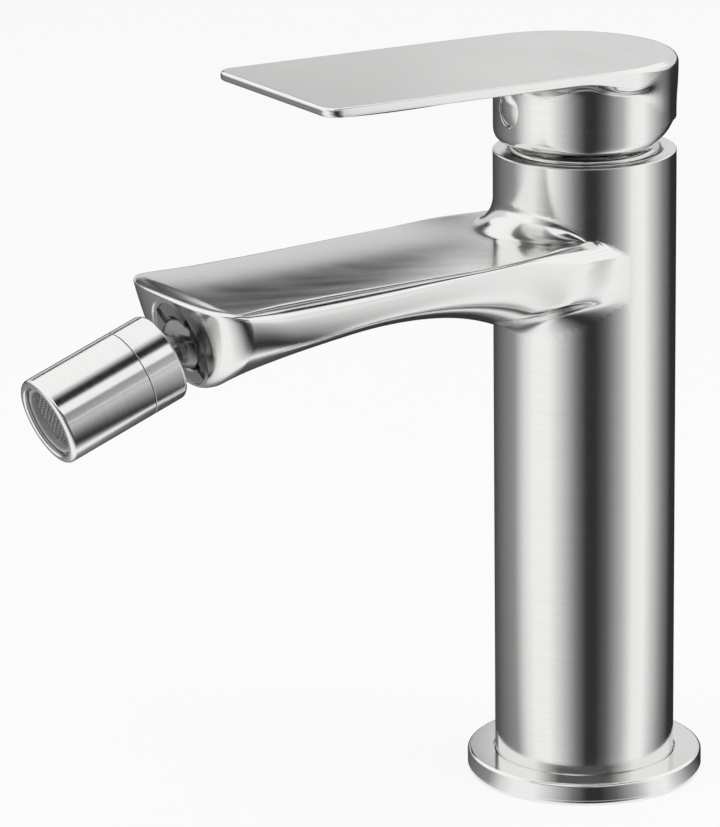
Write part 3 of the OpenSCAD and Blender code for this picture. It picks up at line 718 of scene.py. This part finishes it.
# The aerator's ring
# A moulded ring that holds the screen in the nozzle's mouth, with a step and a rounded edge.
def moulded(name, tone, roughness):
    """Moulded plastic, rubber or ceramic with a faint uneven surface."""
    plastic = bpy.data.materials.new(name)
    plastic.use_nodes = True
    nodes, links = plastic.node_tree.nodes, plastic.node_tree.links
    shader = nodes["Principled BSDF"]
    place = nodes.new("ShaderNodeTexCoord")
    cloud = nodes.new("ShaderNodeTexNoise")
    cloud.inputs["Scale"].default_value = 600
    cloud.inputs["Detail"].default_value = 4.0
    links.new(place.outputs["Object"], cloud.inputs["Vector"])
    colours = nodes.new("ShaderNodeValToRGB")
    colours.color_ramp.elements[0].color = (*[0.86 * c for c in tone], 1)
    colours.color_ramp.elements[1].color = (*[min(1, 1.1 * c) for c in tone], 1)
    links.new(cloud.outputs["Fac"], colours.inputs["Fac"])
    links.new(colours.outputs["Color"], shader.inputs["Base Color"])
    haze = nodes.new("ShaderNodeMapRange")
    haze.inputs["To Min"].default_value = roughness - 0.06
    haze.inputs["To Max"].default_value = roughness + 0.06
    links.new(cloud.outputs["Fac"], haze.inputs["Value"])
    links.new(haze.outputs["Result"], shader.inputs["Roughness"])
    skin = nodes.new("ShaderNodeBump")
    skin.inputs["Strength"].default_value = 0.08
    skin.inputs["Distance"].default_value = 0.05 * MM
    links.new(cloud.outputs["Fac"], skin.inputs["Height"])
    links.new(skin.outputs["Normal"], shader.inputs["Normal"])
    return plastic


holder_plastic = moulded("aerator plastic", (0.42, 0.42, 0.42), 0.35)
holder_low, holder_high = 29.5 * MM, 40.5 * MM
holder_r, holder_bore, shelf_r, shelf_z = 8.85 * MM, 7.6 * MM, 6.8 * MM, 31 * MM
holder_profile = [(shelf_r, holder_low), (holder_r, holder_low), (holder_r, holder_high - 0.9 * MM)]
holder_profile += [(holder_r - 0.4 * MM, holder_high - 0.7 * MM)]
holder_profile += round_edge(holder_r - 0.7 * MM, holder_high - 0.3 * MM, 0.3 * MM, 0, 90, 4)
holder_profile += [(holder_bore + 0.2 * MM, holder_high), (holder_bore, holder_high - 0.3 * MM)]
holder_profile += [(holder_bore, shelf_z), (shelf_r, shelf_z)]
holder = turned("aerator_ring", holder_profile, 96)
dress(smooth(set_on_axis(holder, ball, nozzle_pitch)), holder_plastic)
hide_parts("aerator_housing")
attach(holder, "nozzle")

# The aerator's screen
# Two discs of woven wire, one turned against the other: the wires cross over and under each other,
# and the discs are cut round and let into the ring.
# The wire's tone is darkened to 0.3, a painted shade standing in for the shade inside the nozzle's mouth.
screen_wire_painted_dark = plain_metal("screen wire with painted shade", (0.3, 0.3, 0.3), 0.3)
screen_z = 39.1 * MM
screen_r = 7.55 * MM
wire_pitch = 0.9 * MM
wire_d = 0.36 * MM
crimp = 0.14 * MM
second_down, second_turn = 0.8 * MM, math.radians(40)
wires = 2 * int(screen_r / wire_pitch)
bpy.ops.object.select_all(action="DESELECT")
bpy.ops.mesh.primitive_grid_add(x_subdivisions=wires, y_subdivisions=wires, size=wires * wire_pitch,
                                location=(0, 0, screen_z))
screen = bpy.context.object
screen.name = screen.data.name = "aerator_screen"
bpy.ops.object.transform_apply(location=True, rotation=True, scale=True)
for v in screen.data.vertices:
    step = round(v.co.x / wire_pitch) + round(v.co.y / wire_pitch)
    v.co.z += crimp if step % 2 else -crimp
bpy.ops.object.mode_set(mode="EDIT")
bpy.ops.mesh.select_all(action="DESELECT")
bpy.ops.object.mode_set(mode="OBJECT")
for v in screen.data.vertices:
    v.select = math.hypot(v.co.x, v.co.y) > screen_r - wire_d
bpy.ops.object.mode_set(mode="EDIT")
bpy.ops.mesh.delete(type="VERT")
bpy.ops.object.mode_set(mode="OBJECT")
bpy.ops.object.modifier_add(type="WIREFRAME")
screen.modifiers[-1].thickness = wire_d
screen.modifiers[-1].use_even_offset = False
bpy.ops.object.modifier_apply(modifier=screen.modifiers[-1].name)
bpy.ops.object.mode_set(mode="EDIT")
bpy.ops.mesh.select_all(action="SELECT")
bpy.ops.mesh.duplicate_move(TRANSFORM_OT_translate={"value": (0, 0, -second_down)})
bpy.ops.transform.rotate(value=second_turn, orient_axis="Z", center_override=(0, 0, screen_z))
bpy.ops.object.mode_set(mode="OBJECT")
dress(smooth(set_on_axis(screen, ball, nozzle_pitch), 60), screen_wire_painted_dark)
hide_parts("aerator_mesh")
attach(screen, "nozzle")

# The seals
# Moulded black rubber: the ring under the flange, and the rings under the cartridge, behind the ball
# and in the nozzle.
rubber = moulded("seal rubber", (0.03, 0.03, 0.03), 0.6)
for node in ("deck_seal", "port_seals", "ball_seal", "aerator_washer"):
    dress(frame["nodes"][node], rubber)

# The foot and the tubes
# A machined brass block closes the column's foot, and two drawn copper tubes rise from it to the cartridge.
brass = plain_metal("machined brass", (0.71, 0.55, 0.28), 0.3, 0.06)
copper = plain_metal("drawn copper", (0.72, 0.42, 0.29), 0.28, 0.06)
dress(frame["nodes"]["foot_block"], brass)
dress(frame["nodes"]["cartridge_nut"], brass)
for node in ("hot_tube", "cold_tube"):
    dress(frame["nodes"][node], copper)

# The cartridge
# Moulded housing, base, rotor and disc carrier, two lapped ceramic discs, and a steel stem on a steel pin.
white_plastic = moulded("white plastic", (0.83, 0.83, 0.8), 0.4)
grey_plastic = moulded("grey plastic", (0.3, 0.3, 0.31), 0.45)
ceramic = moulded("lapped ceramic", (0.86, 0.85, 0.82), 0.2)
dark_steel = plain_metal("blackened steel", (0.12, 0.12, 0.12), 0.35, 0.05)
for node in ("cartridge_base", "rotor", "slip_ring", "flow_straightener"):
    dress(frame["nodes"][node], white_plastic)
for node in ("cartridge_housing", "disc_carrier"):
    dress(frame["nodes"][node], grey_plastic)
for node in ("fixed_disc", "moving_disc"):
    dress(frame["nodes"][node], ceramic)
for node in ("lever_stem", "pivot_pin"):
    dress(frame["nodes"][node], bright_steel)
dress(frame["nodes"]["grub_screw"], dark_steel)

# The camera
# It stands to the right of the spout, over a metre away and above the mixer, with a long lens.
camera_data = bpy.data.cameras.new("camera")
camera_data.sensor_width = 36
camera_data.lens = 213.5
camera = bpy.data.objects.new("camera", camera_data)
bpy.context.scene.collection.objects.link(camera)
bpy.context.scene.camera = camera
view_turn = math.radians(56)
distance, height = 1.16962, 0.438451
pitch, yaw, roll = math.radians(16.444), math.radians(-2.731), math.radians(-0.734)
ahead = Vector((math.sin(yaw) * math.cos(pitch), math.cos(yaw) * math.cos(pitch), -math.sin(pitch)))
level = ahead.cross(Vector((0, 0, 1))).normalized()
upright = level.cross(ahead)
image_right = math.cos(roll) * level + math.sin(roll) * upright
image_up = math.cos(roll) * upright - math.sin(roll) * level
stand = Matrix((image_right, image_up, -ahead)).transposed().to_4x4()
stand.translation = Vector((0, -distance, height))
camera.matrix_world = Matrix.Rotation(view_turn, 4, "Z") @ stand

# The studio
# A white floor and surround, two soft boxes beside the camera and one overhead. Dark cards that only
# reflections see stand where the photographer's would, so that the steel shows bright and dark bands.
def shown_white(nodes, links):
    """1 for rays from the camera and for reflected and refracted ones, 0 for the light that rays carry on."""
    path = nodes.new("ShaderNodeLightPath")
    total = path.outputs["Is Camera Ray"]
    for kind in ("Is Glossy Ray", "Is Transmission Ray"):
        either = nodes.new("ShaderNodeMath")
        either.operation = "MAXIMUM"
        links.new(total, either.inputs[0])
        links.new(path.outputs[kind], either.inputs[1])
        total = either.outputs["Value"]
    return total


world = bpy.data.worlds.new("studio")
bpy.context.scene.world = world
world.use_nodes = True
nodes, links = world.node_tree.nodes, world.node_tree.links
ambient = nodes["Background"]
ambient.inputs["Color"].default_value = (1, 1, 1, 1)
ambient.inputs["Strength"].default_value = 0.45
backdrop = nodes.new("ShaderNodeBackground")
backdrop.inputs["Color"].default_value = (1, 1, 1, 1)
backdrop.inputs["Strength"].default_value = 1.0
choice = nodes.new("ShaderNodeMixShader")
links.new(shown_white(nodes, links), choice.inputs["Fac"])
links.new(ambient.outputs["Background"], choice.inputs[1])
links.new(backdrop.outputs["Background"], choice.inputs[2])
links.new(choice.outputs["Shader"], nodes["World Output"].inputs["Surface"])

bpy.ops.object.select_all(action="DESELECT")
bpy.ops.mesh.primitive_plane_add(size=8, location=(0, 0, 0))
floor = bpy.context.object
floor.name = "floor"
paper = bpy.data.materials.new("white paper")
paper.use_nodes = True
nodes, links = paper.node_tree.nodes, paper.node_tree.links
sheet = nodes["Principled BSDF"]
sheet.inputs["Base Color"].default_value = (0.92, 0.92, 0.92, 1)
sheet.inputs["Roughness"].default_value = 0.9
glow = nodes.new("ShaderNodeEmission")
glow.inputs["Color"].default_value = (1, 1, 1, 1)
share = nodes.new("ShaderNodeMath")
share.operation = "MULTIPLY"
share.inputs[1].default_value = 0.88
links.new(shown_white(nodes, links), share.inputs[0])
blend = nodes.new("ShaderNodeMixShader")
links.new(share.outputs["Value"], blend.inputs["Fac"])
links.new(sheet.outputs["BSDF"], blend.inputs[1])
links.new(glow.outputs["Emission"], blend.inputs[2])
links.new(blend.outputs["Shader"], nodes["Material Output"].inputs["Surface"])
dress(floor, paper)

# The share of white that reflections see in each direction, by degrees round from the camera's side.
bands = ((-180, 0.02), (-142, 0.1), (-120, 0.2), (-97, 0.3), (-80, 0.8), (-65, 1.0), (-45, 1.0), (-30, 0.7),
         (-10, 0.2), (2, 0.03), (14, 0.03), (27, 0.12), (47, 0.5), (62, 0.95), (78, 1.0), (93, 0.65), (113, 0.25),
         (135, 0.03), (180, 0.02))


def card_paint(name, stops):
    """Black paint that thins out along the card, so that its shadow in the steel has soft edges."""
    paint = bpy.data.materials.new(name)
    paint.use_nodes = True
    nodes, links = paint.node_tree.nodes, paint.node_tree.links
    nodes.remove(nodes["Principled BSDF"])
    paint_coat = nodes.new("ShaderNodeBsdfDiffuse")
    paint_coat.inputs["Color"].default_value = (0.004, 0.004, 0.004, 1)
    place = nodes.new("ShaderNodeTexCoord")
    across = nodes.new("ShaderNodeSeparateXYZ")
    links.new(place.outputs["UV"], across.inputs["Vector"])
    thin = nodes.new("ShaderNodeValToRGB")
    while len(thin.color_ramp.elements) < len(stops):
        thin.color_ramp.elements.new(0.5)
    for stop, (position, white) in zip(thin.color_ramp.elements, stops):
        stop.position = position
        stop.color = (white, white, white, 1)
    links.new(across.outputs["X"], thin.inputs["Fac"])
    clear = nodes.new("ShaderNodeBsdfTransparent")
    coat = nodes.new("ShaderNodeMixShader")
    links.new(thin.outputs["Color"], coat.inputs["Fac"])
    links.new(paint_coat.outputs["BSDF"], coat.inputs[1])
    links.new(clear.outputs["BSDF"], coat.inputs[2])
    links.new(coat.outputs["Shader"], nodes["Material Output"].inputs["Surface"])
    return paint


def seen_in_metal(card, paint):
    """Paints a card and hides it from everything but reflections."""
    card.visible_camera = card.visible_diffuse = card.visible_shadow = card.visible_transmission = False
    dress(card, paint)


def dark_card(name, paint, turns, radii, heights):
    """A card round the object between two angles from the camera's side; near the foot its bands close up."""
    (start, end), (near, far), (low, high) = turns, radii, heights
    widest, closing = 1.05, 0.0137
    bpy.ops.object.select_all(action="DESELECT")
    bpy.ops.mesh.primitive_grid_add(x_subdivisions=72, y_subdivisions=24, size=1, location=(0, 0, 0))
    card = bpy.context.object
    card.name = name
    for v in card.data.vertices:
        out = near * (far / near) ** (v.co.y + 0.5)
        narrow = min(1.0, widest - closing / out)
        turn = start + (end - start) * (v.co.x + 0.5)
        turn = view_turn + math.radians(turn) * (narrow + (1 - narrow) * (turn / 180) ** 6)
        v.co = Vector((out * math.sin(turn), -out * math.cos(turn), low + (high - low) * (v.co.y + 0.5)))
    seen_in_metal(card, paint)


def flat_card(name, paint, middle, across, along):
    """A flat card about a point; the two arrows are half its width and half its length."""
    bpy.ops.object.select_all(action="DESELECT")
    bpy.ops.mesh.primitive_grid_add(x_subdivisions=2, y_subdivisions=2, size=2, location=(0, 0, 0))
    card = bpy.context.object
    card.name = name
    for v in card.data.vertices:
        v.co = middle + across * v.co.x + along * v.co.y
    seen_in_metal(card, paint)


band_paint = card_paint("banded card", [((turn + 180) / 360, white) for turn, white in bands])
plain_paint = card_paint("black card", ((0, 1.0), (0.06, 0.02), (0.85, 0.02), (1, 0.9)))
dark_card("floor_card", band_paint, turns=(-180, 180), radii=(0.0297, 1.2), heights=(0.0004, 0.0004))
dark_card("low_wall_card", band_paint, turns=(-180, 180), radii=(1.2, 1.2), heights=(0, 0.2))
front_paint = card_paint("front card", ((0, 1.0), (0.25, 0.06), (0.75, 0.06), (1, 1.0)))
grey_paint = card_paint("grey card", ((0, 0.95), (0.15, 0.7), (0.85, 0.7), (1, 0.8)))
dark_card("high_card", plain_paint, turns=(181, 214), radii=(3.0, 3.0), heights=(0.97, 1.55))
dark_card("front_card", front_paint, turns=(-66, 66), radii=(1.4, 1.4), heights=(0.25, 0.8))
dark_card("back_card", grey_paint, turns=(110, 250), radii=(3.0, 3.0), heights=(0.3, 0.97))
dark_card("back_high_card", grey_paint, turns=(140, 181), radii=(3.0, 3.0), heights=(0.97, 1.55))
to_camera = Vector((math.sin(view_turn), -math.cos(view_turn), 0))
to_right = Vector((math.cos(view_turn), math.sin(view_turn), 0))
overhead = Vector((0, 0, 1))
streak_paint = card_paint("streak card", ((0, 1.0), (0.12, 0.01), (0.5, 0.01), (0.75, 0.5), (1, 0.9)))
streak_out = 0.35 * to_camera + 0.33 * to_right + 0.8 * overhead
streak_across = 0.34 * (-0.243 * to_camera - 0.523 * to_right + 0.817 * overhead)
streak_along = 0.55 * (-0.818 * to_camera + 0.575 * to_right)
streak_middle = ball + 0.02 * socket_axis + streak_out + 0.3 * streak_across
flat_card("streak_card", streak_paint, streak_middle, streak_across, streak_along)


lamp_target = Vector((0, -0.05, 0.1))


def soft_box(name, turn, height, out, width, tall, watts):
    """An area lamp at an angle from the camera's side, aimed at the object's middle."""
    lamp_data = bpy.data.lights.new(name, "AREA")
    lamp_data.shape = "RECTANGLE"
    lamp_data.size, lamp_data.size_y = width, tall
    lamp_data.energy = watts
    lamp = bpy.data.objects.new(name, lamp_data)
    bpy.context.scene.collection.objects.link(lamp)
    angle = view_turn + math.radians(turn)
    lamp.location = (out * math.sin(angle), -out * math.cos(angle), height)
    aim = lamp_target - lamp.location
    lamp.rotation_euler = aim.to_track_quat("-Z", "Y").to_euler()
    lamp.visible_glossy = False


soft_box("left_box", turn=-58, height=0.7, out=1.1, width=0.7, tall=1.0, watts=4)
soft_box("right_box", turn=70, height=0.7, out=1.1, width=0.7, tall=1.0, watts=4)
soft_box("top_box", turn=0, height=1.5, out=0.1, width=1.0, tall=1.0, watts=5)
bpy.context.scene.view_settings.view_transform = "Standard"
